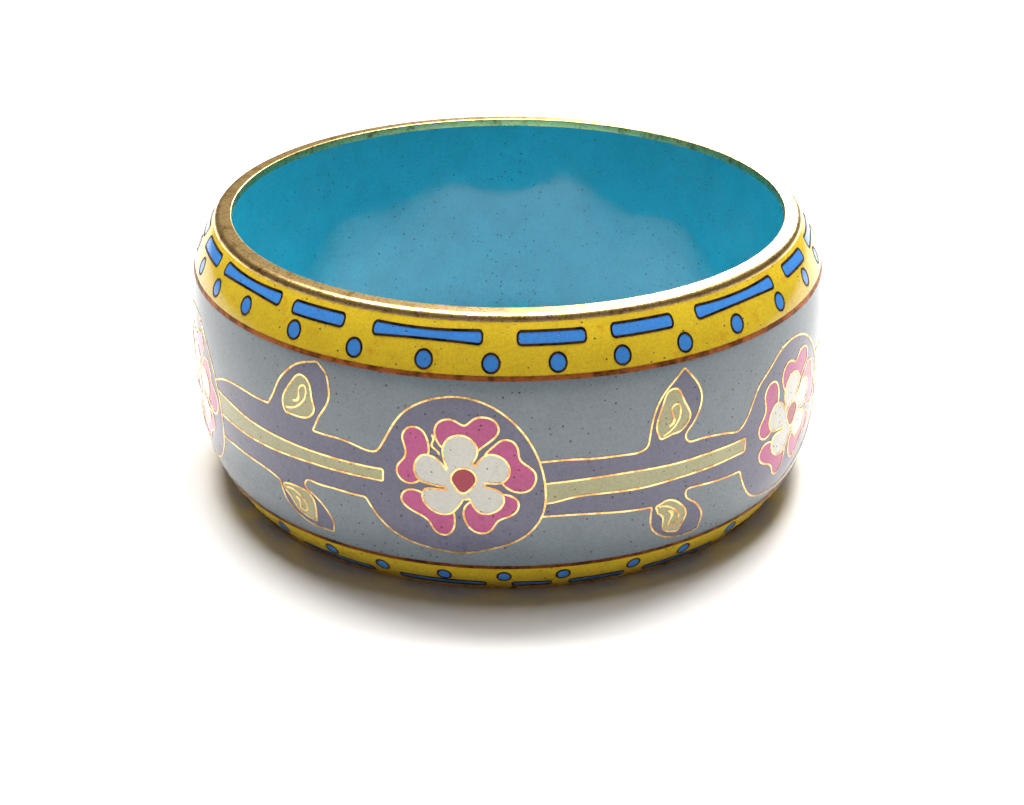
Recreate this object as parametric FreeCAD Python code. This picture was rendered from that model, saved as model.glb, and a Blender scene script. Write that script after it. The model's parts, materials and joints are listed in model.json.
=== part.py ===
"""Cloisonne bangle: a domed copper band with brass rims, wire cells and enamel fills.

Units are millimetres.  The bangle lies on its lower rim, its axis is +Z, and the origin is
the centre of the circle that it rests on.  The front of the bangle faces -Y.

The ornament is drawn on a flat chart and then wrapped round the dome.  A chart point is
(x, z): x is the distance round the widest girth, positive to the right of the front, and z is
the height on the enamel face.  A cell or a wire is a flat face of the chart.  Wrapping it puts
a skin on two nested surfaces of revolution and joins them by walls that run square to the
dome, so neighbouring wires and enamels meet exactly.
"""
import FreeCAD, Part
import math
import os

from FreeCAD import Vector
from Part import Geom2d

# ------------------------------------------------------------------ driving dimensions
WIDTH = 30.3                # height of the band, from rim to rim
INNER_RADIUS = 30.14        # smallest radius, at the rims: a 60 mm bangle
EDGE_RADIUS = 31.5          # enamel face carried on to the very edge of the band
DOME_RISE = 3.82            # how far the face swells out between its edges
DOME_POWER = 3.55           # a high power gives a flat middle and quick shoulders

ENAMEL_DEPTH = 0.9          # enamel face down to the copper
COPPER_THICKNESS = 0.6
WIRE_PROUD = 0.03           # wires stand this far above the enamel
WIRE_WIDTH = 0.2            # cloison wire
WIRE_HALF = WIRE_WIDTH / 2
RIM_HEIGHT = 0.7            # face edge of the upper rim, down from the top of the band
LOWER_RIM_HEIGHT = 0.45     # face edge of the lower rim
RIM_FLAT_RADIUS = 31.35     # outer edge of the flat that the bangle rests on
RIM_ROUND = 0.14            # small round on the inner corner of a rim
RIM_CROWN = 0.13            # how far a rim's outer shoulder swells, each way
LAND_HEIGHT = 0.85          # inner land of a rim, from the edge of the band to the lining
LINING_SHARE = 0.5          # enamel's part of the inner wall's thickness; the rest is copper

BORDER_WIRE_WIDTH = 0.46    # heavier wire between the field and each border
UPPER_BORDER_Z = 24.9       # middle of the upper border wire
LOWER_BORDER_Z = 3.98       # middle of the lower border wire

FLOWER_Z = (14.4, 13.7)     # flower centre heights of the two alternating repeats
FIRST_FLOWER_X = -4.1
REPEATS = 6
LONG_PITCH = 39.2           # the two spans at the front

MID_Z = WIDTH / 2
GIRTH_RADIUS = EDGE_RADIUS + DOME_RISE
GIRTH = 2 * math.pi * GIRTH_RADIUS
SHORT_PITCH = (GIRTH - 2 * LONG_PITCH) / (REPEATS - 2)
RIM_Z = WIDTH - RIM_HEIGHT
FRONT_TURN = 90.0           # turns the middle of a wrapped chart to face -Y

# ------------------------------------------------------------------ ornament outlines
# One repeat is a medallion on a long tail.  Outline points are (x, z): x from the flower
# centre; z from the flower centre on the medallion, and from the lower rim on the tails.
# A point that is written twice in a row is a corner.
MEDALLION = [
    (-5.9, 6.6), (-3.7, 8.05), (-0.7, 8.7), (2.4, 8.0), (5.2, 5.8), (7.0, 2.75), (7.8, -0.5),
    (7.4, -4.2), (5.5, -6.5), (2.4, -7.85), (-0.1, -8.45), (-3.0, -8.25), (-6.5, -7.2),
]
UPPER_TAILS = (
    [(-34.5, 15.9), (-32.2, 17.0), (-30.3, 17.8), (-28.6, 18.15), (-25.6, 18.25), (-23.6, 18.2),
     (-21.9, 18.25), (-21.9, 18.25), (-21.1, 19.5), (-20.2, 21.3), (-19.2, 22.5), (-17.8, 23.6),
     (-16.4, 24.1), (-15.4, 24.35), (-15.4, 24.35), (-14.4, 23.6), (-13.9, 22.4), (-13.8, 21.2),
     (-14.2, 20.1), (-15.1, 18.7), (-15.9, 17.05), (-15.9, 17.05), (-14.4, 17.0), (-12.8, 17.0),
     (-11.0, 16.7), (-9.6, 16.4), (-8.8, 16.5), (-8.2, 17.2), (-7.3, 18.9)],
    [(-34.5, 16.3), (-31.2, 16.5), (-29.0, 16.55), (-26.4, 16.4), (-23.6, 16.35),
     (-21.9, 16.4), (-21.25, 16.75), (-21.0, 17.6), (-20.7, 19.5), (-20.0, 21.3),
     (-19.0, 22.5), (-17.05, 24.1), (-17.05, 24.1), (-16.1, 22.95), (-15.4, 21.8),
     (-15.15, 20.6), (-15.5, 19.3), (-16.3, 18.0), (-16.95, 17.0), (-16.6, 16.35),
     (-15.5, 16.2), (-13.4, 16.05), (-11.4, 15.7), (-9.9, 15.5), (-8.9, 16.3), (-7.9, 18.1),
     (-6.9, 19.6)],
)
LOWER_TAILS = (
    [(-8.5, 8.8), (-9.2, 9.7), (-10.1, 11.15), (-10.1, 11.15), (-11.8, 11.15), (-14.0, 11.2),
     (-16.0, 11.2), (-17.1, 11.1), (-17.35, 10.5), (-16.5, 9.75), (-15.2, 8.7), (-14.5, 7.7),
     (-14.25, 6.7), (-14.5, 5.65), (-14.5, 5.65), (-15.9, 5.65), (-17.4, 5.75), (-18.7, 6.3),
     (-19.9, 7.2), (-20.6, 8.3), (-20.95, 9.9), (-20.95, 9.9), (-22.2, 10.25), (-24.5, 10.55),
     (-28.4, 10.75), (-34.5, 10.9)],
    [(-8.2, 8.3), (-8.75, 9.3), (-9.3, 10.6), (-9.3, 10.6), (-11.8, 10.65), (-14.0, 10.8),
     (-15.6, 10.95), (-16.5, 10.75), (-16.5, 10.15), (-15.5, 9.2), (-14.6, 8.2), (-14.1, 7.1),
     (-14.2, 5.3), (-14.2, 5.3), (-15.4, 5.15), (-16.8, 5.2), (-18.1, 5.5), (-19.3, 6.2),
     (-20.2, 7.3), (-20.45, 8.6), (-20.4, 9.85), (-20.4, 9.85), (-21.8, 9.9), (-24.4, 10.1),
     (-27.2, 10.35), (-30.0, 10.45), (-34.5, 10.3)],
)
UPPER_BUDS = (
    [(-19.7, 19.0), (-19.3, 20.4), (-18.4, 21.7), (-17.4, 22.6), (-16.6, 22.4), (-16.05, 21.6),
     (-15.85, 20.4), (-15.6, 19.5), (-16.2, 18.5), (-17.6, 18.1), (-19.2, 18.1)],
    [(-19.8, 17.25), (-19.8, 17.25), (-20.2, 18.2), (-20.15, 19.5), (-19.6, 21.0), (-18.9, 22.2),
     (-18.0, 22.2), (-17.4, 21.2), (-16.85, 20.1), (-16.5, 19.2), (-16.95, 18.2),
     (-18.2, 17.6)],
)
UPPER_HOOKS = (
    [(-19.3, 18.7), (-18.2, 18.95), (-17.2, 19.7), (-16.6, 20.8), (-16.8, 21.6), (-17.4, 21.3),
     (-17.5, 20.4), (-18.3, 19.7)],
    [(-19.5, 17.6), (-18.7, 18.0), (-17.95, 18.8), (-17.65, 19.8), (-18.0, 20.7), (-18.6, 20.4),
     (-18.4, 19.4), (-18.9, 18.5)],
)
LOWER_BUDS = (
    [(-20.5, 9.5), (-19.6, 9.9), (-18.2, 9.95), (-17.1, 9.75), (-16.4, 8.9), (-16.3, 7.8),
     (-16.5, 6.3), (-16.5, 6.3), (-17.8, 6.6), (-18.8, 7.1), (-19.4, 8.0), (-20.1, 8.8)],
    [(-20.0, 9.75), (-20.0, 9.75), (-18.9, 10.2), (-17.9, 10.0), (-16.9, 9.2), (-16.25, 8.1),
     (-16.5, 6.9), (-16.9, 5.9), (-16.9, 5.9), (-18.0, 6.2), (-18.85, 6.9), (-18.95, 7.9),
     (-19.5, 8.8)],
)
LOWER_HOOKS = (
    [(-20.1, 9.3), (-19.2, 9.4), (-18.1, 8.9), (-17.5, 8.1), (-17.7, 7.3), (-18.4, 7.35),
     (-18.4, 7.95), (-18.9, 8.6)],
    [(-19.6, 9.7), (-18.6, 9.5), (-17.6, 8.8), (-17.1, 7.9), (-17.5, 7.1), (-18.2, 7.1),
     (-18.0, 8.0), (-18.5, 8.9)],
)
# Stem bars: lower edge towards the flower, then the upper edge back.  They begin inside the
# medallion before, which cuts them off.
STEMS = (
    [(-33.5, 13.4), (-33.5, 13.4), (-29.4, 13.3), (-24.4, 13.15), (-20.9, 13.2),
     (-15.9, 13.35), (-11.9, 13.35), (-8.1, 13.35), (-8.1, 13.35), (-8.05, 14.65),
     (-8.05, 14.65), (-12.0, 14.65), (-16.1, 14.7), (-20.9, 14.85), (-25.9, 15.2),
     (-30.4, 15.8), (-33.5, 16.1), (-33.5, 16.1)],
    [(-33.5, 11.9), (-33.5, 11.9), (-30.8, 11.95), (-29.2, 12.3), (-27.2, 12.5), (-24.1, 12.4),
     (-21.1, 12.35), (-18.1, 12.5), (-13.1, 12.6), (-8.8, 12.75), (-8.8, 12.75),
     (-8.8, 14.25), (-8.8, 14.25), (-13.1, 14.25), (-18.1, 14.2), (-23.1, 14.35),
     (-28.1, 14.25), (-31.0, 14.1), (-33.5, 14.0), (-33.5, 14.0)],
)

# Flower, about its own centre
CENTRE_RING = [(-1.25, 0.15), (-0.85, 1.0), (0.1, 1.35), (1.0, 0.85), (1.2, 0.0), (0.75, -0.75),
               (0.05, -1.35), (-0.75, -0.9)]
HUB_RADIUS = 2.05
WHITE_PETALS = [
    [(-1.45, 1.2), (-1.9, 2.2), (-2.0, 3.2), (-1.5, 4.35), (-0.3, 4.85), (0.8, 4.4), (1.35, 3.4),
     (1.1, 2.4), (0.6, 1.5)],
    [(1.1, 1.45), (1.6, 2.35), (2.3, 2.9), (3.4, 2.75), (4.25, 1.85), (4.35, 0.8), (3.7, -0.05),
     (2.7, -0.2), (1.7, -0.15)],
    [(1.7, -0.6), (2.6, -0.7), (3.4, -1.05), (3.85, -1.9), (3.5, -2.9), (2.6, -3.5), (1.6, -3.5),
     (0.9, -2.75), (0.45, -1.8)],
    [(-0.05, -1.75), (-0.5, -2.8), (-1.3, -3.7), (-2.4, -3.85), (-3.5, -3.25), (-4.1, -2.2),
     (-3.8, -1.25), (-2.9, -1.1), (-1.8, -1.1)],
    [(-1.8, -0.65), (-3.2, -0.65), (-4.3, -0.35), (-4.85, 0.7), (-4.6, 1.8), (-3.8, 2.5),
     (-2.9, 2.35), (-2.1, 1.7), (-1.6, 0.9)],
]
PINK_PETALS = [
    [(-2.0, 3.4), (-2.7, 4.6), (-2.6, 5.7), (-1.7, 6.4), (-0.7, 6.25), (0.1, 5.9), (0.9, 6.5),
     (2.0, 6.8), (3.0, 6.4), (3.35, 5.4), (2.9, 4.65), (2.1, 3.95), (1.4, 3.3)],
    [(2.1, 2.9), (2.9, 3.85), (3.8, 4.5), (4.7, 4.3), (5.2, 3.4), (5.35, 2.5), (6.1, 1.7),
     (6.8, 0.95), (6.85, -0.1), (6.2, -1.0), (5.2, -1.15), (4.2, -0.7), (3.6, 0.0)],
    [(3.5, -1.35), (4.4, -1.5), (5.2, -2.2), (5.1, -3.2), (4.2, -3.9), (3.3, -4.35), (2.7, -5.3),
     (1.8, -5.85), (0.8, -5.55), (0.1, -4.5), (0.0, -3.1), (0.55, -2.35)],
    [(-1.1, -3.5), (-0.95, -4.6), (-1.15, -5.6), (-1.9, -6.3), (-2.9, -5.95), (-3.5, -4.9),
     (-4.3, -4.25), (-5.5, -3.65), (-6.25, -2.6), (-5.7, -1.65), (-4.5, -1.55), (-3.7, -2.0)],
    [(-4.3, -0.3), (-5.5, -0.8), (-6.5, -0.1), (-6.5, 1.0), (-5.8, 1.95), (-5.7, 3.0),
     (-5.95, 4.2), (-5.2, 5.25), (-4.1, 5.15), (-3.5, 4.2), (-3.35, 3.0), (-3.5, 2.2)],
]
# A scrap of wire that was left in the gap between two petals of the front flower
SCRAP = [(-3.05, 4.7), (-2.9, 4.1), (-3.05, 3.55), (-2.6, 3.1), (-2.35, 2.6)]

# Borders.  Bars are (start, end, height of middle, waist); dots are (x, z).
BAR_HALF_HEIGHT = 0.56
BAR_CORNER = 0.42           # corner radius along the middle of the wire
BAR_CORNER_SPARE = 0.03     # least straight stretch left on a bar's ends
BAR_WAIST = 0.35            # pinch of a waisted bar, as a part of its half height
DOT_RADIUS = 0.84
UPPER_BARS_FRONT = [
    (-46.6, -39.6, 28.55, 0), (-37.5, -26.0, 28.6, 1), (-24.0, -17.2, 28.45, 0),
    (-13.8, -2.4, 28.4, 1), (1.1, 8.0, 28.35, 0), (10.7, 17.6, 28.45, 0),
    (20.6, 33.1, 28.55, 1), (36.1, 42.5, 28.6, 0), (45.8, 54.6, 28.55, 1),
]
UPPER_DOTS_FRONT = [
    (-44.2, 26.6), (-37.7, 26.5), (-30.9, 26.8), (-23.0, 26.55), (-15.5, 26.4), (-8.1, 26.3),
    (-1.5, 26.25), (5.0, 26.25), (11.5, 26.3), (18.5, 26.35), (25.5, 26.55), (33.1, 26.6),
    (40.5, 26.75),
]
LOWER_DOTS_FRONT = [
    (-27.5, 2.5), (-20.1, 2.45), (-13.7, 2.3), (-6.7, 2.35), (-0.3, 2.45), (6.0, 2.5),
    (13.9, 2.5), (20.2, 2.55), (27.3, 2.6),
]
LOWER_DOT_RADIUS = 0.72
LOWER_BARS_FRONT = [
    (-25.2, -15.2, 1.03, 0), (-12.0, -2.3, 1.03, 0), (0.6, 4.9, 1.03, 0), (6.9, 13.2, 1.03, 0),
    (15.6, 25.4, 1.03, 0),
]
LOWER_BAR_HALF_HEIGHT = 0.36
BACK_DOT_STEP = 6.9         # the back repeats the front's rhythm evenly
BACK_PAIR_STEP = 24.0       # one long and one short bar
BACK_BAR_GAP = 2.9
BACK_BAR_DIFFERENCE = 4.8   # a long bar less a short one
UPPER_BORDER_CUTS = (9.3, -25.0)    # free meridians, where a border's two stretches meet
LOWER_BORDER_CUTS = (15.15, -12.45)

CORNER_EASE = 0.25          # a drawn corner turns within this distance
ARC_MIDDLE = 1 - math.sqrt(0.5)     # inset of a quarter arc's middle, for a radius of one
PROFILE_SPANS = 24          # spans of a meridian curve
SPANS_PER_EDGE = 8          # a wrapped edge is kept this short
SEW_TOLERANCE = 1e-4
CUT_TOLERANCE = 1e-6


AXIS = (Vector(0, 0, 0), Vector(0, 0, 1))


# ------------------------------------------------------------------ dome surfaces
def face_radius(z):
    """Radius of the enamel face at a height."""
    t = abs(z - MID_Z) / MID_Z
    return EDGE_RADIUS + DOME_RISE * (1 - t ** DOME_POWER)


def face_slope(z):
    """Change of the face radius with height."""
    t = (z - MID_Z) / MID_Z
    return -DOME_RISE * DOME_POWER * math.copysign(abs(t) ** (DOME_POWER - 1), t) / MID_Z


def face_point(z, depth=0.0):
    """Point of the XZ plane at a depth under the enamel face, measured square to it."""
    slope = face_slope(z)
    length = math.hypot(1, slope)
    return Vector(face_radius(z) - depth / length, 0, z + depth * slope / length)


def profile(depth, low=0.0, high=WIDTH):
    """Meridian curve at a depth; its parameter is the height on the enamel face."""
    heights = [low + (high - low) * i / PROFILE_SPANS for i in range(PROFILE_SPANS + 1)]
    curve = Part.BSplineCurve()
    curve.interpolate(Points=[face_point(z, depth) for z in heights], Parameters=heights)
    return curve


WIRE_TOP = Part.SurfaceOfRevolution(profile(-WIRE_PROUD), *AXIS)
ENAMEL_TOP = Part.SurfaceOfRevolution(profile(0.0), *AXIS)
COPPER_TOP = Part.SurfaceOfRevolution(profile(ENAMEL_DEPTH), *AXIS)
COPPER_BACK_DEPTH = ENAMEL_DEPTH + COPPER_THICKNESS


# ------------------------------------------------------------------ flat chart drawing
def chart_vectors(points):
    return [Vector(x, z, 0) for x, z in points]


def eased(points):
    """The same points as vectors, with a tight bend at each corner."""
    vectors = chart_vectors(points)
    result = []
    for number, point in enumerate(vectors):
        following = vectors[(number + 1) % len(vectors)]
        if point.isEqual(vectors[number - 1], 0):
            continue
        if not point.isEqual(following, 0):
            result.append(point)
            continue
        arrival = (vectors[number - 1] - point).normalize() * CORNER_EASE
        departure = (vectors[(number + 2) % len(vectors)] - point).normalize() * CORNER_EASE
        result += [point + arrival * 2, point + arrival, point + (arrival + departure) / 4,
                   point + departure, point + departure * 2]
    return result


def smooth_loop(points):
    """Closed smooth curve through chart points."""
    curve = Part.BSplineCurve()
    curve.interpolate(Points=eased(points), PeriodicFlag=True)
    return curve


def smooth_line(points):
    """Open smooth curve through chart points."""
    curve = Part.BSplineCurve()
    curve.interpolate(Points=eased(points))
    return curve


def signed_area(points):
    following = points[1:] + points[:1]
    return sum(a[0] * b[1] - b[0] * a[1] for a, b in zip(points, following)) / 2


def beside(curve, distance):
    """Points at a distance to the right of a smooth curve, one at each of its knots."""
    points = []
    for knot in curve.getKnots():
        tangent = curve.tangent(knot)[0]
        points.append(curve.value(knot) + Vector(tangent.y, -tangent.x, 0) * distance)
    return points


def disc(points, grow=0.0):
    """Flat face inside a smooth loop, moved outwards by grow."""
    if signed_area(points) < 0:
        points = points[::-1]
    loop = smooth_loop(points)
    if grow:
        grown = beside(loop, grow)[:-1]
        loop = Part.BSplineCurve()
        loop.interpolate(Points=grown, PeriodicFlag=True)
    return Part.Face(Part.Wire([loop.toShape()]))


def hoop(points):
    """Flat band of a closed wire that follows a smooth loop."""
    return disc(points, WIRE_HALF).cut(disc(points, -WIRE_HALF))


def side_edge(points, distance):
    """Smooth edge at a distance to the right of the line through the points."""
    side = Part.BSplineCurve()
    side.interpolate(Points=beside(smooth_line(points), distance))
    return side.toShape()


def strip(points):
    """Flat band of an open wire that follows a smooth line."""
    right, left = side_edge(points, WIRE_HALF), side_edge(points, -WIRE_HALF)
    ends = [Part.makeLine(right.Vertexes[i].Point, left.Vertexes[i].Point) for i in (0, -1)]
    return Part.Face(Part.Wire(Part.sortEdges([right, left] + ends)[0]))


def bounded(points, distance):
    """Flat face between a line's right-hand side, or left if negative, and its chord."""
    side = side_edge(points, distance)
    chord = Part.makeLine(side.Vertexes[-1].Point, side.Vertexes[0].Point)
    face = Part.Face(Part.Wire(Part.sortEdges([side, chord])[0]))
    if face.normalAt(0, 0).z < 0:
        face.reverse()
    return face


def dot_disc(x, z, radius, grow=0.0):
    circle = Part.Circle(Vector(x, z, 0), AXIS[1], radius + grow)
    return Part.Face(Part.Wire([circle.toShape()]))


def bar_disc(start, end, middle, waist, half, grow=0.0):
    """Flat face of a bar with round corners, whose long sides close in at the waist."""
    left, right = start - grow, end + grow
    low, high = middle - half - grow, middle + half + grow
    corner = min(BAR_CORNER + grow, half + grow - BAR_CORNER_SPARE)
    inset = corner * ARC_MIDDLE
    pinch = waist * BAR_WAIST * half
    centre = (left + right) / 2
    points = [
        [(left + corner, low), (centre, low + pinch), (right - corner, low)],
        [(right - corner, low), (right - inset, low + inset), (right, low + corner)],
        [(right, low + corner), (right, middle), (right, high - corner)],
        [(right, high - corner), (right - inset, high - inset), (right - corner, high)],
        [(right - corner, high), (centre, high - pinch / 2), (left + corner, high)],
        [(left + corner, high), (left + inset, high - inset), (left, high - corner)],
        [(left, high - corner), (left, middle), (left, low + corner)],
        [(left, low + corner), (left + inset, low + inset), (left + corner, low)],
    ]
    edges = []
    for number, side in enumerate(points):
        first, through, last = chart_vectors(side)
        is_round = number % 2 == 1 or (waist and number in (0, 4))
        curve = Part.Arc(first, through, last) if is_round else Part.LineSegment(first, last)
        edges.append(curve.toShape())
    return Part.Face(Part.Wire(edges))


def block(left, right, low, high):
    """Flat rectangle of the chart."""
    return Part.makePlane(right - left, high - low, Vector(left, low, 0))


def shifted(points, x=0.0, z=0.0):
    return [(px + x, pz + z) for px, pz in points]


def joined(faces):
    """Several flat faces as one outline."""
    return faces[0].fuse(faces[1:]).removeSplitter()


# ------------------------------------------------------------------ wrapping the chart
def pieces_of(edge):
    """Spline curves that follow a flat edge in its own direction, each of few spans."""
    curve = edge.Curve.toBSpline(*edge.ParameterRange)
    if edge.Orientation == "Reversed":
        curve.reverse()
    knots = curve.getKnots()
    count = max(1, math.ceil((len(knots) - 1) / SPANS_PER_EDGE))
    cuts = [knots[round(i * (len(knots) - 1) / count)] for i in range(count + 1)]
    if count == 1 and not curve.isPeriodic():
        return [curve]
    pieces = []
    for first, last in zip(cuts, cuts[1:]):
        piece = curve.copy()
        piece.segment(first, last)
        pieces.append(piece)
    return pieces


def wrapped_edge(curve, surface, centre):
    """A flat curve laid on a surface of revolution."""
    poles = [FreeCAD.Base.Vector2d(math.pi + (p.x - centre) / GIRTH_RADIUS, p.y)
             for p in curve.getPoles()]
    flat = Geom2d.BSplineCurve2d()
    flat.buildFromPolesMultsKnots(poles, curve.getMultiplicities(), curve.getKnots(),
                                  False, curve.Degree, curve.getWeights())
    return flat.toShape(surface)


def is_open_end(curve, open_ends):
    """True for a straight cut that a ring's next stretch continues from."""
    ends = (curve.StartPoint.x, curve.EndPoint.x)
    return any(all(abs(x - cut) < CUT_TOLERANCE for x in ends) for cut in open_ends)


def wrapped_faces(flat, top, centre, shift=0.0, open_ends=()):
    """Skins and walls of one flat face.

    The seam of the surfaces lies half a turn from the chart point centre.  The shift moves
    the result along the girth.
    """
    outlines = [flat.OuterWire] + [w for w in flat.Wires if not w.isSame(flat.OuterWire)]
    outlines = [[curve for edge in wire.OrderedEdges for curve in pieces_of(edge)]
                for wire in outlines]
    laid = [[[wrapped_edge(curve, surface, centre) for curve in outline]
             for outline in outlines] for surface in (top, COPPER_TOP)]
    skins = []
    for rim, *holes in laid:
        skin = Part.Face(Part.Wire(rim))
        if holes:
            skin.cutHoles([Part.Wire(hole) for hole in holes])
        skins.append(skin)
    walls = []
    for outline, upper, lower in zip(outlines, *laid):
        for curve, high_edge, low_edge in zip(outline, upper, lower):
            if not is_open_end(curve, open_ends):
                walls.append(Part.makeRuledSurface(high_edge, low_edge))
    turn = math.degrees((centre + shift) / GIRTH_RADIUS) + FRONT_TURN
    faces = skins + [face for wall in walls for face in wall.Faces]
    return [face.rotated(*AXIS, turn) for face in faces]


def sewn(faces):
    shell = Part.makeShell(faces)
    shell.sewShape(SEW_TOLERANCE)
    solid = Part.Solid(shell.Shells[0])
    if solid.Volume < 0:
        solid.reverse()
    return solid


def cells(flat, top, shift=0.0):
    """One solid for each face of a flat drawing."""
    solids = []
    for face in flat.Faces:
        centre = face.BoundBox.Center.x
        solids.append(sewn(wrapped_faces(face, top, centre, shift)))
    return solids


def ring_of(stretches, top):
    """One closed ring from flat stretches, each (face, left cut, right cut, shift)."""
    faces = []
    for flat, left, right, shift in stretches:
        faces += wrapped_faces(flat, top, (left + right) / 2, shift, (left, right))
    return sewn(faces)


def revolved(edges):
    return Part.Face(Part.Wire(Part.sortEdges(edges)[0])).revolve(*AXIS, 360)


def group(solids):
    return solids[0] if len(solids) == 1 else Part.makeCompound(solids)


# ------------------------------------------------------------------ rims, copper, inner wall
def meridian_edge(depth, low, high):
    return profile(depth, low, high).toShape()


def make_rim(height):
    """Rim at the top of the band, down to a height below the edge on the face."""
    face_corner, copper_corner, back_corner = [
        face_point(WIDTH - height, depth) for depth in (0.0, ENAMEL_DEPTH, COPPER_BACK_DEPTH)]
    land_foot = Vector(INNER_RADIUS, 0, WIDTH - LAND_HEIGHT)
    land_top = Vector(INNER_RADIUS, 0, WIDTH - RIM_ROUND)
    inset = RIM_ROUND * ARC_MIDDLE
    round_middle = Vector(INNER_RADIUS + inset, 0, WIDTH - inset)
    flat_inner = Vector(INNER_RADIUS + RIM_ROUND, 0, WIDTH)
    flat_outer = Vector(RIM_FLAT_RADIUS, 0, WIDTH)
    shoulder = (flat_outer + face_corner) / 2 + Vector(RIM_CROWN, 0, RIM_CROWN)
    return revolved([
        Part.makeLine(land_foot, land_top),
        Part.Arc(land_top, round_middle, flat_inner).toShape(),
        Part.makeLine(flat_inner, flat_outer),
        Part.Arc(flat_outer, shoulder, face_corner).toShape(),
        Part.makeLine(face_corner, copper_corner),
        Part.makeLine(copper_corner, back_corner),
        Part.makeLine(back_corner, land_foot),
    ])


def make_layer_ring(outer_depth, inner_depth, low, high):
    """Ring between two depths under the face, with ends square to the dome."""
    ends = [Part.makeLine(face_point(z, outer_depth), face_point(z, inner_depth))
            for z in (low, high)]
    return revolved([meridian_edge(outer_depth, low, high),
                     meridian_edge(inner_depth, low, high)] + ends)


def under_rim(share, height):
    """Point of a rim's slanting underside, from its inner land, 0, to the copper, 1."""
    land_foot = Vector(INNER_RADIUS, 0, WIDTH - LAND_HEIGHT)
    return land_foot + (face_point(WIDTH - height, COPPER_BACK_DEPTH) - land_foot) * share


def make_inner_wall(inner_share, outer_share):
    """Straight ring between two shares of the inner wall's thickness, from rim to rim."""
    corners = []
    for share in (inner_share, outer_share):
        foot = under_rim(share, LOWER_RIM_HEIGHT)
        corners.append((Vector(foot.x, 0, WIDTH - foot.z), under_rim(share, RIM_HEIGHT)))
    (inner_low, inner_high), (outer_low, outer_high) = corners
    loop = [inner_low, inner_high, outer_high, outer_low, inner_low]
    return revolved([Part.makeLine(a, b) for a, b in zip(loop, loop[1:])])


def upside_down(solid):
    """The same piece at the other edge of the band."""
    return solid.mirror(Vector(0, 0, MID_Z), AXIS[1])


# ------------------------------------------------------------------ medallions and tails
def tail_pitch(repeat):
    """Distance from a flower back to the one before it."""
    return LONG_PITCH if repeat in (0, 1) else SHORT_PITCH


def flower_x(repeat):
    return FIRST_FLOWER_X + sum(tail_pitch(i) for i in range(1, repeat + 1))


def vine_path(variant):
    medallion = shifted(MEDALLION, z=FLOWER_Z[variant])
    return UPPER_TAILS[variant] + medallion + LOWER_TAILS[variant]


def earlier_medallion(variant, pitch):
    """Outer outline of the previous medallion, which closes off this tail."""
    return bounded(shifted(vine_path(1 - variant), x=-pitch), -WIRE_HALF)


def bud_drawing(outline, hook):
    """Wires, enamel and outer outline of one bud."""
    curl = strip(hook)
    wires = joined([hoop(outline), curl])
    enamel = disc(outline, -WIRE_HALF).cut(curl)
    return wires, enamel, disc(outline, WIRE_HALF)


def flower_drawing(scraps):
    """Flat wires, white, pink and red enamel, and the outer outline of a flower."""
    def white_outline(grow):
        petals = [disc(points, grow) for points in WHITE_PETALS]
        return joined(petals + [dot_disc(0, 0, HUB_RADIUS, grow)])

    white_outer, white_inner = white_outline(WIRE_HALF), white_outline(-WIRE_HALF)
    pink_outer = [disc(points, WIRE_HALF) for points in PINK_PETALS]
    pink_inner = [disc(points, -WIRE_HALF) for points in PINK_PETALS]
    wires = [hoop(CENTRE_RING), white_outer.cut(white_inner)]
    wires += [outer.cut([inner, white_outer]) for outer, inner in zip(pink_outer, pink_inner)]
    loose = [strip(points).cut([white_outer] + pink_outer) for points in scraps]
    return {
        "wires": Part.makeCompound(wires + loose),
        "white": white_inner.cut(disc(CENTRE_RING, WIRE_HALF)),
        "pink": Part.makeCompound([inner.cut(white_outer) for inner in pink_inner]),
        "centre": disc(CENTRE_RING, -WIRE_HALF),
        "outline": [white_outer] + pink_outer + loose,
    }


def repeat_drawing(variant, pitch, flower):
    """Flat wires and enamels of one repeat, in its own coordinates."""
    path = vine_path(variant)
    earlier = earlier_medallion(variant, pitch)
    stem = STEMS[variant]
    upper_wires, upper_enamel, upper_outline = bud_drawing(UPPER_BUDS[variant],
                                                           UPPER_HOOKS[variant])
    lower_wires, lower_enamel, lower_outline = bud_drawing(LOWER_BUDS[variant],
                                                           LOWER_HOOKS[variant])
    lift = Vector(0, FLOWER_Z[variant], 0)
    blossom = {name: flower[name].translated(lift)
               for name in ("wires", "white", "pink", "centre")}
    holes = [shape.translated(lift) for shape in flower["outline"]]
    holes += [earlier, disc(stem, WIRE_HALF), upper_outline, lower_outline]
    return {
        "vine_wire": strip(path).cut(earlier),
        "vine_enamel": bounded(path, WIRE_HALF).cut(holes),
        "flower_wires": blossom["wires"],
        "white_petals": blossom["white"],
        "pink_petals": blossom["pink"],
        "flower_centre": blossom["centre"],
        "stem_wires": hoop(stem).cut(earlier),
        "stem_enamel": disc(stem, -WIRE_HALF).cut(earlier),
        "bud_wires": Part.makeCompound([upper_wires, lower_wires]),
        "bud_enamel": Part.makeCompound([upper_enamel, lower_enamel]),
    }


def field_drawing(variant, pitch):
    """Flat field above and below the vine, from the last flower's meridian to this one's."""
    half = BORDER_WIRE_WIDTH / 2
    strip_face = block(-pitch, 0, LOWER_BORDER_Z + half, UPPER_BORDER_Z - half)
    own = bounded(vine_path(variant), -WIRE_HALF)
    faces = strip_face.cut([own, earlier_medallion(variant, pitch)]).Faces
    upper = max(faces, key=lambda face: face.BoundBox.YMax)
    lower = min(faces, key=lambda face: face.BoundBox.YMin)
    return upper, lower


# ------------------------------------------------------------------ borders
def back_dots(front):
    """Evenly spaced dots that carry on round the back from the hand-placed front ones."""
    first, last = front[0], front[-1]
    span = first[0] + GIRTH - last[0]
    count = round(span / BACK_DOT_STEP)
    return [(last[0] + span * i / count, last[1]) for i in range(1, count)]


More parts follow.
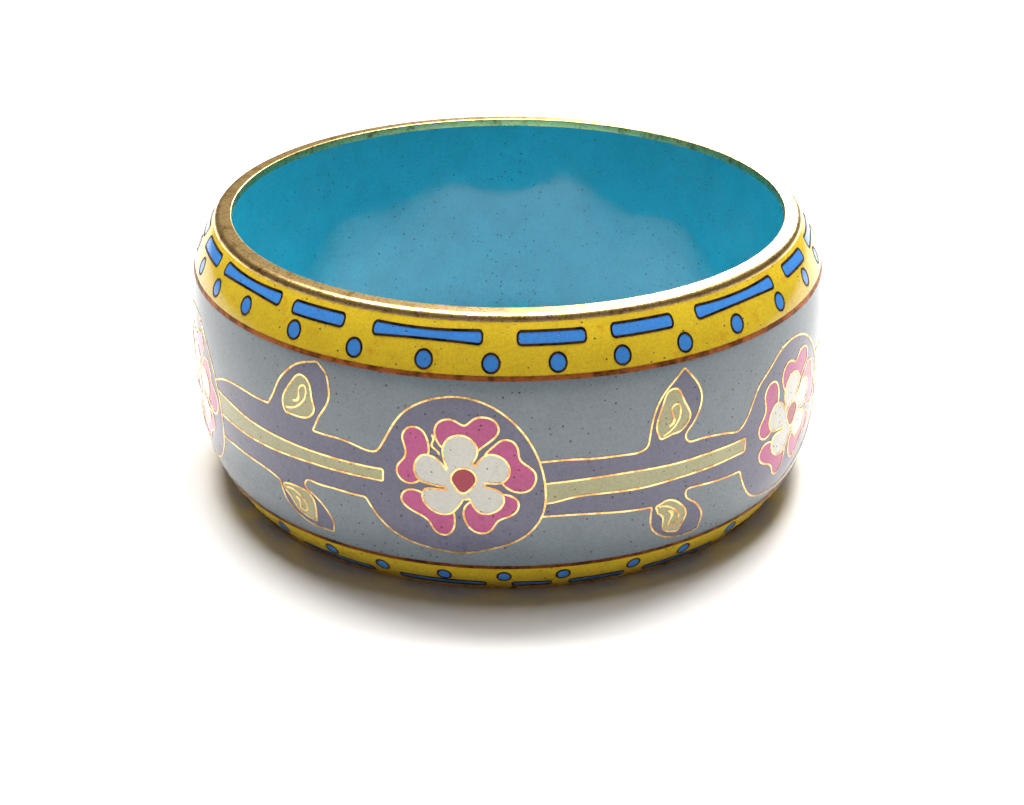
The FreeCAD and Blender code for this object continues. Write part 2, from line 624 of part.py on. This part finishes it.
def back_bars(front):
    """Long and short bars in turn, round the back."""
    start = front[-1][1]
    span = front[0][0] + GIRTH - BACK_BAR_GAP - start
    pairs = round(span / BACK_PAIR_STEP)
    step = span / pairs
    long_bar = step / 2 - BACK_BAR_GAP + BACK_BAR_DIFFERENCE / 2
    short_bar = long_bar - BACK_BAR_DIFFERENCE
    height = front[-1][2]
    bars = []
    for i in range(pairs):
        left = start + i * step + BACK_BAR_GAP
        bars.append((left, left + long_bar, height, 1))
        left += long_bar + BACK_BAR_GAP
        bars.append((left, left + short_bar, height, 0))
    return bars


def border_ring(discs, cuts, low, high):
    """Yellow ring of a border with a hole for each disc, made in two stretches."""
    right, left = cuts
    stretches = []
    for start, end in ((left, right), (right, left + GIRTH)):
        holes = []
        for flat in discs:
            lap = GIRTH if flat.BoundBox.XMin < start else 0.0
            if flat.BoundBox.XMax + lap < end:
                holes.append(flat.translated(Vector(lap, 0, 0)))
        stretches.append((block(start, end, low, high).cut(holes).Faces[0], start, end, 0.0))
    return ring_of(stretches, ENAMEL_TOP)


def border_cells(draw, shapes):
    """Outer discs, and the wire and enamel solids, of a border's bars or dots."""
    outer = [draw(*shape, grow=WIRE_HALF) for shape in shapes]
    inner = [draw(*shape, grow=-WIRE_HALF) for shape in shapes]
    wires = [cells(big.cut(small), WIRE_TOP)[0] for big, small in zip(outer, inner)]
    enamel = [cells(small, ENAMEL_TOP)[0] for small in inner]
    return outer, group(wires), group(enamel)


# ------------------------------------------------------------------ whole bangle
def make_parts():
    half = BORDER_WIRE_WIDTH / 2
    upper_wire = (UPPER_BORDER_Z - half, UPPER_BORDER_Z + half)
    lower_wire = (LOWER_BORDER_Z - half, LOWER_BORDER_Z + half)
    parts = {
        "core_band": make_layer_ring(ENAMEL_DEPTH, COPPER_BACK_DEPTH, LOWER_RIM_HEIGHT, RIM_Z),
        "top_rim": make_rim(RIM_HEIGHT),
        "bottom_rim": upside_down(make_rim(LOWER_RIM_HEIGHT)),
        "lining_enamel": make_inner_wall(0.0, LINING_SHARE),
        "inner_band": make_inner_wall(LINING_SHARE, 1.0),
        "upper_border_wire": make_layer_ring(-WIRE_PROUD, ENAMEL_DEPTH, *upper_wire),
        "lower_border_wire": make_layer_ring(-WIRE_PROUD, ENAMEL_DEPTH, *lower_wire),
    }

    borders = (
        ("upper", UPPER_BARS_FRONT, UPPER_DOTS_FRONT, BAR_HALF_HEIGHT, DOT_RADIUS,
         UPPER_BORDER_CUTS, upper_wire[1], RIM_Z),
        ("lower", LOWER_BARS_FRONT, LOWER_DOTS_FRONT, LOWER_BAR_HALF_HEIGHT, LOWER_DOT_RADIUS,
         LOWER_BORDER_CUTS, LOWER_RIM_HEIGHT, lower_wire[0]),
    )
    for name, bars, dots, bar_half, radius, cuts, low, high in borders:
        all_bars = [bar + (bar_half,) for bar in bars + back_bars(bars)]
        all_dots = [dot + (radius,) for dot in dots + back_dots(dots)]
        outlines = []
        for kind, draw, shapes in (("bar", bar_disc, all_bars), ("dot", dot_disc, all_dots)):
            discs, wires, enamel = border_cells(draw, shapes)
            outlines += discs
            parts[f"{name}_{kind}_wires"] = wires
            parts[f"{name}_{kind}_enamel"] = enamel
        parts[name + "_border_enamel"] = border_ring(outlines, cuts, low, high)

    fields = ([], [])
    shared = {"stem_wires": [], "stem_enamel": [], "bud_wires": [], "bud_enamel": []}
    for repeat in range(REPEATS):
        variant, pitch, shift = repeat % 2, tail_pitch(repeat), flower_x(repeat)
        flower = flower_drawing([] if repeat else [SCRAP])
        drawing = repeat_drawing(variant, pitch, flower)
        for name, flat in drawing.items():
            top = WIRE_TOP if "wire" in name else ENAMEL_TOP
            solids = cells(flat, top, shift)
            if name in shared:
                shared[name] += solids
            else:
                parts[f"{name}_{repeat + 1}"] = group(solids)
        for stretches, flat in zip(fields, field_drawing(variant, pitch)):
            stretches.append((flat, -pitch, 0.0, shift))
    for name, solids in shared.items():
        parts[name] = group(solids)
    for name, stretches in zip(("field_enamel_upper", "field_enamel_lower"), fields):
        parts[name] = ring_of(stretches, ENAMEL_TOP)
    return parts


def main():
    os.makedirs("parts", exist_ok=True)
    for name, shape in make_parts().items():
        shape.exportStep(os.path.join("parts", name + ".step"))
        print(f"{name}: {len(shape.Solids)} solids, {shape.Volume:.2f} mm3, "
              f"valid {shape.isValid()}")


main()
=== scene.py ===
"""A cloisonne enamel bangle on a plain pale floor: looks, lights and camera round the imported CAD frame."""
import json
import math

import bpy
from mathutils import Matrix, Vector


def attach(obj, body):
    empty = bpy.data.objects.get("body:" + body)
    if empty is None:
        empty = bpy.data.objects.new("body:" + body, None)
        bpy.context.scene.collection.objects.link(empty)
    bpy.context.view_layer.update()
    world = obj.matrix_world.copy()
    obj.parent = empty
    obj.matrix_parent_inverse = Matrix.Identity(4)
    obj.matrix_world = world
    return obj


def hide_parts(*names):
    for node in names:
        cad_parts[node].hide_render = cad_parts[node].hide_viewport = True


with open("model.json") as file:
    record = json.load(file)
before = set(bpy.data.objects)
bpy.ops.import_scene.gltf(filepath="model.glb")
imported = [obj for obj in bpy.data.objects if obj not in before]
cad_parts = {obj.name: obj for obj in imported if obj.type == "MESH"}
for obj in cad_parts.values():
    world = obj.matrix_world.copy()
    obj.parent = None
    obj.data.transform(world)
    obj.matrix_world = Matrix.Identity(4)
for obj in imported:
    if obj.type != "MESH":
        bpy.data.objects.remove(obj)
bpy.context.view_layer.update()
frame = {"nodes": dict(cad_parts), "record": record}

MM = 0.001

# the band, as the CAD has it
WIDTH = 30.3 * MM
HALF_WIDTH = WIDTH / 2
INNER_RADIUS = 30.14 * MM
EDGE_RADIUS = 31.5 * MM
DOME_RISE = 3.82 * MM
DOME_POWER = 3.55
RIM_HEIGHTS = {"top_rim": 0.7 * MM, "bottom_rim": 0.45 * MM}
RIM_FLAT_RADIUS = 31.35 * MM
RIM_ROUND = 0.14 * MM
RIM_SWELL = 0.13 * MM           # how far a rim's outer shoulder swells, each way
RIM_DEPTH = 0.9 * MM            # how far the rim's hidden foot lies behind its face
LAND_HEIGHT = 0.85 * MM
LINING_UNEVENNESS = 0.2 * MM    # the lining strays this far either side of the CAD's straight wall
LINING_WAVES = [(11, 0.0, 0.65), (7, 1.0, 0.35)]    # (waves round the girth, phase, share)
LINING_STEPS = 40
LINING_DEPTH = 0.6 * MM
TURNS = 480                     # quads round a revolved piece

# the camera
CAMERA_PLACE = (0.79 * MM, -172.4 * MM, 91.3 * MM)
CAMERA_DROP = 0.463
CAMERA_YAW = 0.002
CAMERA_LENS = 57.9
SENSOR_WIDTH = 36.0

# lights: (name, place, size, power, colour)
LAMPS = [
    ("overhead", (0.03, 0.04, 0.65), 0.26, 2.4, (1.0, 0.98, 0.95)),
    ("back_left", (-0.15, 0.20, 0.62), 0.22, 3.5, (1.0, 0.98, 0.95)),
    ("back_right", (0.15, 0.20, 0.62), 0.22, 4.2, (1.0, 0.98, 0.95)),
    ("window", (0.30, 1.05, 0.55), 0.45, 9.0, (1.0, 0.99, 0.97)),
]
ROOM_COLOUR = (1.0, 0.86, 0.82, 1.0)
ROOM_STRENGTH = 0.08


# ------------------------------------------------------------------ node material hand
class Recipe:
    """A small hand for writing one node material."""

    def __init__(self, name):
        self.material = bpy.data.materials.new(name)
        self.material.use_nodes = True
        self.tree = self.material.node_tree
        self.shader = self.tree.nodes["Principled BSDF"]
        self.place = self.node("ShaderNodeTexCoord").outputs["Object"]

    def node(self, kind, **settings):
        made = self.tree.nodes.new(kind)
        for key, value in settings.items():
            setattr(made, key, value)
        return made

    def feed(self, socket, value):
        """A link where the value is another node's output, and a setting where it is a number or colour."""
        if isinstance(value, bpy.types.NodeSocket):
            self.tree.links.new(value, socket)
        else:
            socket.default_value = value

    def set(self, **sockets):
        """Settings and links on the shader's own sockets, by name with _ for a space."""
        for key, value in sockets.items():
            self.feed(self.shader.inputs[key.replace("_", " ")], value)

    def maths(self, operation, *values, clamp=False):
        made = self.node("ShaderNodeMath", operation=operation, use_clamp=clamp)
        for socket, value in zip(made.inputs, values):
            self.feed(socket, value)
        return made.outputs[0]

    def vectors(self, operation, *values):
        made = self.node("ShaderNodeVectorMath", operation=operation)
        for socket, value in zip(made.inputs, values):
            self.feed(socket, value)
        return made.outputs[0]

    def height(self):
        """Height over the floor in metres."""
        parts = self.node("ShaderNodeSeparateXYZ")
        self.feed(parts.inputs[0], self.place)
        return parts.outputs[2]

    def noise(self, lump, detail=2.0, roughness=0.5, seed=0.0, stretch=None):
        """Soft noise from 0 to 1 with lumps of about that size in metres, stretched by three factors."""
        made = self.node("ShaderNodeTexNoise", noise_dimensions="4D")
        place = self.vectors("MULTIPLY", self.place, stretch) if stretch else self.place
        self.feed(made.inputs["Vector"], place)
        made.inputs["W"].default_value = seed
        made.inputs["Scale"].default_value = 1 / lump
        made.inputs["Detail"].default_value = detail
        made.inputs["Roughness"].default_value = roughness
        return made.outputs[0]

    def ramp(self, value, low, high, top=1.0):
        """value from low to high becomes 0 to top."""
        made = self.node("ShaderNodeMapRange", interpolation_type="SMOOTHSTEP")
        self.feed(made.inputs["Value"], value)
        made.inputs["From Min"].default_value = low
        made.inputs["From Max"].default_value = high
        made.inputs["To Max"].default_value = top
        return made.outputs[0]

    def mix(self, share, first, second):
        made = self.node("ShaderNodeMix", data_type="RGBA")
        self.feed(made.inputs[0], share)
        self.feed(made.inputs[6], first)
        self.feed(made.inputs[7], second)
        return made.outputs[2]

    def bump(self, height, distance, normal=None):
        made = self.node("ShaderNodeBump")
        made.inputs["Distance"].default_value = distance
        self.feed(made.inputs["Height"], height)
        if normal is not None:
            self.feed(made.inputs["Normal"], normal)
        return made.outputs[0]

    def specks(self, spacing, size, share, seed):
        """1 inside round specks up to that size, in a share of the cells of a foam of that spacing."""
        shifted = self.vectors("ADD", self.place, (seed, 0.37 * seed, 0.71 * seed))
        foam = self.node("ShaderNodeTexVoronoi")
        self.feed(foam.inputs["Vector"], shifted)
        foam.inputs["Scale"].default_value = 1 / spacing
        parts = self.node("ShaderNodeSeparateColor")
        self.feed(parts.inputs[0], foam.outputs["Color"])
        wanted = self.maths("LESS_THAN", parts.outputs[0], share)
        reach = self.maths("MULTIPLY_ADD", parts.outputs[1], 0.25 * size / spacing, 0.25 * size / spacing)
        inside = self.maths("SUBTRACT", reach, foam.outputs["Distance"])
        edge = self.maths("MULTIPLY", inside, 6 * spacing / size, clamp=True)
        return self.maths("MULTIPLY", edge, wanted)

    def barrel_normal(self):
        """The normal of the barrel's revolved face, so that flush cells mirror as one polished surface."""
        share = self.maths("DIVIDE", self.maths("SUBTRACT", self.height(), HALF_WIDTH), HALF_WIDTH)
        steep = self.maths("POWER", self.maths("ABSOLUTE", share), DOME_POWER - 1)
        signed = self.maths("MULTIPLY", steep, self.maths("SIGN", share))
        up = self.node("ShaderNodeCombineXYZ")
        self.feed(up.inputs[2], self.maths("MULTIPLY", signed, DOME_RISE * DOME_POWER / HALF_WIDTH))
        level = self.vectors("NORMALIZE", self.vectors("MULTIPLY", self.place, (1, 1, 0)))
        turned = self.node("ShaderNodeVectorTransform", vector_type="NORMAL",
                           convert_from="OBJECT", convert_to="WORLD")
        self.feed(turned.inputs[0], self.vectors("ADD", level, up.outputs[0]))
        return self.vectors("NORMALIZE", turned.outputs[0])


def linear(red, green, blue):
    """An sRGB colour of 0 to 255 as a linear node colour."""
    def channel(value):
        share = value / 255
        return share / 12.92 if share <= 0.04045 else ((share + 0.055) / 1.055) ** 2.4
    return channel(red), channel(green), channel(blue), 1.0


def toned(colour, factor):
    """An sRGB colour lightened or darkened by a factor."""
    return tuple(min(255, value * factor) for value in colour)


# ------------------------------------------------------------------ looks
PIT = linear(38, 32, 34)


def enamel(name, colour, seed, flush=True, spread=0.06, tint=None, tint_share=0.0, gloss=0.09):
    """Polished glass enamel: a faint cloud of tone, fine grain, open pits, and specks of another tint."""
    recipe = Recipe(name)
    clouds = recipe.noise(3.2 * MM, 3.0, seed=seed)
    grain = recipe.noise(0.22 * MM, 2.0, 0.6, seed=seed + 3)
    shade = recipe.maths("MULTIPLY_ADD", grain, 0.65, recipe.maths("MULTIPLY", clouds, 0.35))
    tone = recipe.mix(recipe.ramp(shade, 0.32, 0.68), linear(*toned(colour, 1 - spread)),
                      linear(*toned(colour, 1 + spread)))
    if tint:
        patches = recipe.noise(1.1 * MM, 4.0, 0.7, seed=seed + 7)
        tone = recipe.mix(recipe.ramp(patches, 0.52, 0.72, tint_share), tone, linear(*tint))
    pits = recipe.specks(0.62 * MM, 0.26 * MM, 0.5, seed * MM)
    dust = recipe.specks(0.36 * MM, 0.15 * MM, 0.5, (seed + 5) * MM)
    tone = recipe.mix(recipe.maths("MULTIPLY", dust, 0.4), tone, PIT)
    tone = recipe.mix(recipe.maths("MULTIPLY", pits, 0.85), tone, PIT)
    recipe.set(Base_Color=tone, IOR=1.5)
    recipe.set(Roughness=recipe.maths("MULTIPLY_ADD", grain, gloss, gloss))
    relief = recipe.maths("SUBTRACT", recipe.maths("MULTIPLY", clouds, 0.5), pits)
    recipe.set(Normal=recipe.bump(relief, 0.03 * MM, recipe.barrel_normal() if flush else None))
    return recipe.material


def metal(name, bright, worn, roughness, seed, flush=True, wear=(0.42, 0.62)):
    """Gilt brass: gold where it is polished and brown where it has tarnished."""
    recipe = Recipe(name)
    clouds = recipe.noise(1.6 * MM, 4.0, 0.65, seed=seed)
    grain = recipe.noise(0.25 * MM, 2.0, seed=seed + 2)
    tone = recipe.mix(recipe.ramp(clouds, *wear), linear(*bright), linear(*worn))
    recipe.set(Base_Color=tone, Metallic=1.0)
    recipe.set(Roughness=recipe.maths("MULTIPLY_ADD", grain, 0.2, roughness))
    recipe.set(Normal=recipe.bump(grain, 0.02 * MM, recipe.barrel_normal() if flush else None))
    return recipe.material


GILT = metal("gilt_wire", (248, 212, 142), (196, 144, 84), 0.18, 1.0)
# the wires round the bars and dots are drawn dark brown with a little dull gold, which gives the bars and
# dots dark outlines
DARK_WIRE = metal("dark_wire", (96, 66, 40), (34, 28, 30), 0.4, 4.0)
RUSTY = metal("rusty_wire", (170, 100, 52), (104, 58, 30), 0.38, 6.0)
RIM = metal("gilt_rim", (248, 212, 140), (156, 106, 58), 0.2, 9.0, flush=False, wear=(0.48, 0.74))
LOOKS = {
    "core_copper": metal("copper", (196, 120, 84), (120, 66, 44), 0.35, 12.0, flush=False),
    "rim_brass": RIM,
    "wire_brass": GILT,
    "enamel_turquoise": enamel("turquoise", (40, 160, 188), 21.0, flush=False, gloss=0.05),
    "enamel_yellow": enamel("yellow", (214, 184, 44), 23.0, tint=(196, 120, 24), tint_share=0.5),
    "enamel_blue": enamel("blue", (66, 136, 216), 25.0),
    "enamel_grey": enamel("grey", (120, 132, 140), 27.0, spread=0.06),
    "enamel_slate": enamel("slate", (104, 104, 126), 29.0, tint=(78, 84, 112), tint_share=0.5),
    "enamel_white": enamel("white", (216, 215, 206), 31.0, spread=0.03),
    "enamel_pink": enamel("pink", (190, 74, 134), 33.0, tint=(170, 50, 110), tint_share=0.5),
    "enamel_red": enamel("red", (168, 40, 66), 35.0),
    "enamel_khaki": enamel("khaki", (172, 170, 128), 37.0),
}
WIRE_LOOKS = {
    "upper_border_wire": RUSTY,
    "lower_border_wire": RUSTY,
    "upper_bar_wires": DARK_WIRE,
    "upper_dot_wires": DARK_WIRE,
    "lower_bar_wires": DARK_WIRE,
    "lower_dot_wires": DARK_WIRE,
}


def dress_nodes():
    """Gives every CAD node its look."""
    for row in frame["record"]["subparts"]:
        materials = frame["nodes"][row["node"]].data.materials
        materials.clear()
        materials.append(WIRE_LOOKS.get(row["node"], LOOKS[row["material_slot"]]))


# ------------------------------------------------------------------ revolved pieces
def face_radius(height):
    share = abs(height - HALF_WIDTH) / HALF_WIDTH
    return EDGE_RADIUS + DOME_RISE * (1 - share ** DOME_POWER)


def arc(centre, radius, first, last, count):
    """Points of a circle's arc in the (radius, height) plane."""
    angles = [first + (last - first) * i / count for i in range(count + 1)]
    return [(centre[0] + radius * math.cos(a), centre[1] + radius * math.sin(a)) for a in angles]


def rim_profile(height):
    """Outline of the upper rim, anticlockwise from its foot at the lining."""
    corner = (face_radius(WIDTH - height), WIDTH - height)
    flat = (RIM_FLAT_RADIUS, WIDTH)
    shoulder = []
    for i in range(9):
        share = i / 8
        lift = 4 * RIM_SWELL * share * (1 - share)
        shoulder.append((flat[0] + (corner[0] - flat[0]) * share + lift,
                         flat[1] + (corner[1] - flat[1]) * share + lift))
    lip = arc((INNER_RADIUS + RIM_ROUND, WIDTH - RIM_ROUND), RIM_ROUND, math.pi, math.pi / 2, 5)
    flats = [(INNER_RADIUS + RIM_ROUND + (RIM_FLAT_RADIUS - INNER_RADIUS - RIM_ROUND) * i / 6, WIDTH)
             for i in range(1, 6)]
    foot = (corner[0] - RIM_DEPTH, corner[1] - 0.5 * RIM_DEPTH)
    return [foot, (INNER_RADIUS, WIDTH - LAND_HEIGHT)] + lip + flats + shoulder


def revolved(name, profile, node, look, drift=None):
    """A closed ring from a (radius, height) outline; drift(angle, height) is a small change of radius."""
    count = len(profile)
    points = []
    for turn in range(TURNS):
        angle = 2 * math.pi * turn / TURNS
        for radius, height in profile:
            reach = radius + (drift(angle, height) if drift else 0)
            points.append((reach * math.cos(angle), reach * math.sin(angle), height))
    faces = []
    for turn in range(TURNS):
        for i in range(count):
            a, b = turn * count, (turn + 1) % TURNS * count
            j = (i + 1) % count
            faces.append((a + i, b + i, b + j, a + j))
    data = bpy.data.meshes.new(name)
    data.from_pydata(points, [], faces)
    data.materials.append(look)
    data.shade_smooth()
    data.set_sharp_from_angle(angle=math.radians(50))
    piece = bpy.data.objects.new(name, data)
    bpy.context.scene.collection.objects.link(piece)
    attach(piece, "root")
    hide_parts(node)


def lining_profile():
    low, high = LAND_HEIGHT, WIDTH - LAND_HEIGHT
    inner = [(INNER_RADIUS, low + (high - low) * i / LINING_STEPS) for i in range(LINING_STEPS + 1)]
    return inner + [(INNER_RADIUS + LINING_DEPTH, height) for height in (high, low)]


def lining_drift(angle, height):
    """Hand-hammered unevenness of the lining, about the CAD's radius and nothing at its ends."""
    share = abs(height - HALF_WIDTH) / (HALF_WIDTH - LAND_HEIGHT)
    from_back = angle - math.pi / 2
    uneven = sum(part * math.cos(waves * from_back - phase) for waves, phase, part in LINING_WAVES)
    return -LINING_UNEVENNESS * uneven * (1 - share ** 2)


def add_rings():
    for node, height in RIM_HEIGHTS.items():
        profile = rim_profile(height)
        if node == "bottom_rim":
            profile = [(radius, WIDTH - z) for radius, z in profile][::-1]
        revolved("gilt_" + node, profile, node, RIM)
    revolved("lining", lining_profile(), "lining_enamel",
             LOOKS["enamel_turquoise"], lining_drift)


# ------------------------------------------------------------------ stage
def add_floor():
    reach = 3.0
    corners = [(-reach, -reach, 0), (reach, -reach, 0), (reach, reach, 0), (-reach, reach, 0)]
    data = bpy.data.meshes.new("floor")
    data.from_pydata(corners, [], [(0, 1, 2, 3)])
    floor = bpy.data.objects.new("floor", data)
    bpy.context.scene.collection.objects.link(floor)
    recipe = Recipe("pale_floor")
    tone = recipe.mix(recipe.noise(25 * MM, 4.0), linear(243, 242, 241), linear(249, 249, 249))
    recipe.set(Base_Color=tone, Roughness=0.7)
    data.materials.append(recipe.material)


def add_lamp(name, place, size, power, colour):
    lamp = bpy.data.lights.new(name, "AREA")
    lamp.shape = "DISK"
    lamp.size = size
    lamp.energy = power
    lamp.color = colour
    light = bpy.data.objects.new(name, lamp)
    light.location = place
    light.rotation_euler = (-Vector(place)).to_track_quat("-Z", "Y").to_euler()
    bpy.context.scene.collection.objects.link(light)


def add_room():
    world = bpy.data.worlds.new("studio")
    world.use_nodes = True
    backdrop = world.node_tree.nodes["Background"]
    backdrop.inputs[0].default_value = ROOM_COLOUR
    backdrop.inputs[1].default_value = ROOM_STRENGTH
    bpy.context.scene.world = world
    bpy.context.scene.view_settings.view_transform = "Standard"


def add_camera():
    lens = bpy.data.cameras.new("camera")
    lens.lens = CAMERA_LENS
    lens.sensor_width = SENSOR_WIDTH
    lens.clip_start = 10 * MM
    camera = bpy.data.objects.new("camera", lens)
    camera.location = CAMERA_PLACE
    camera.rotation_euler = (math.pi / 2 - CAMERA_DROP, 0, CAMERA_YAW)
    bpy.context.scene.collection.objects.link(camera)
    bpy.context.scene.camera = camera


dress_nodes()
add_rings()
add_floor()
add_camera()
add_room()
for lamp in LAMPS:
    add_lamp(*lamp)
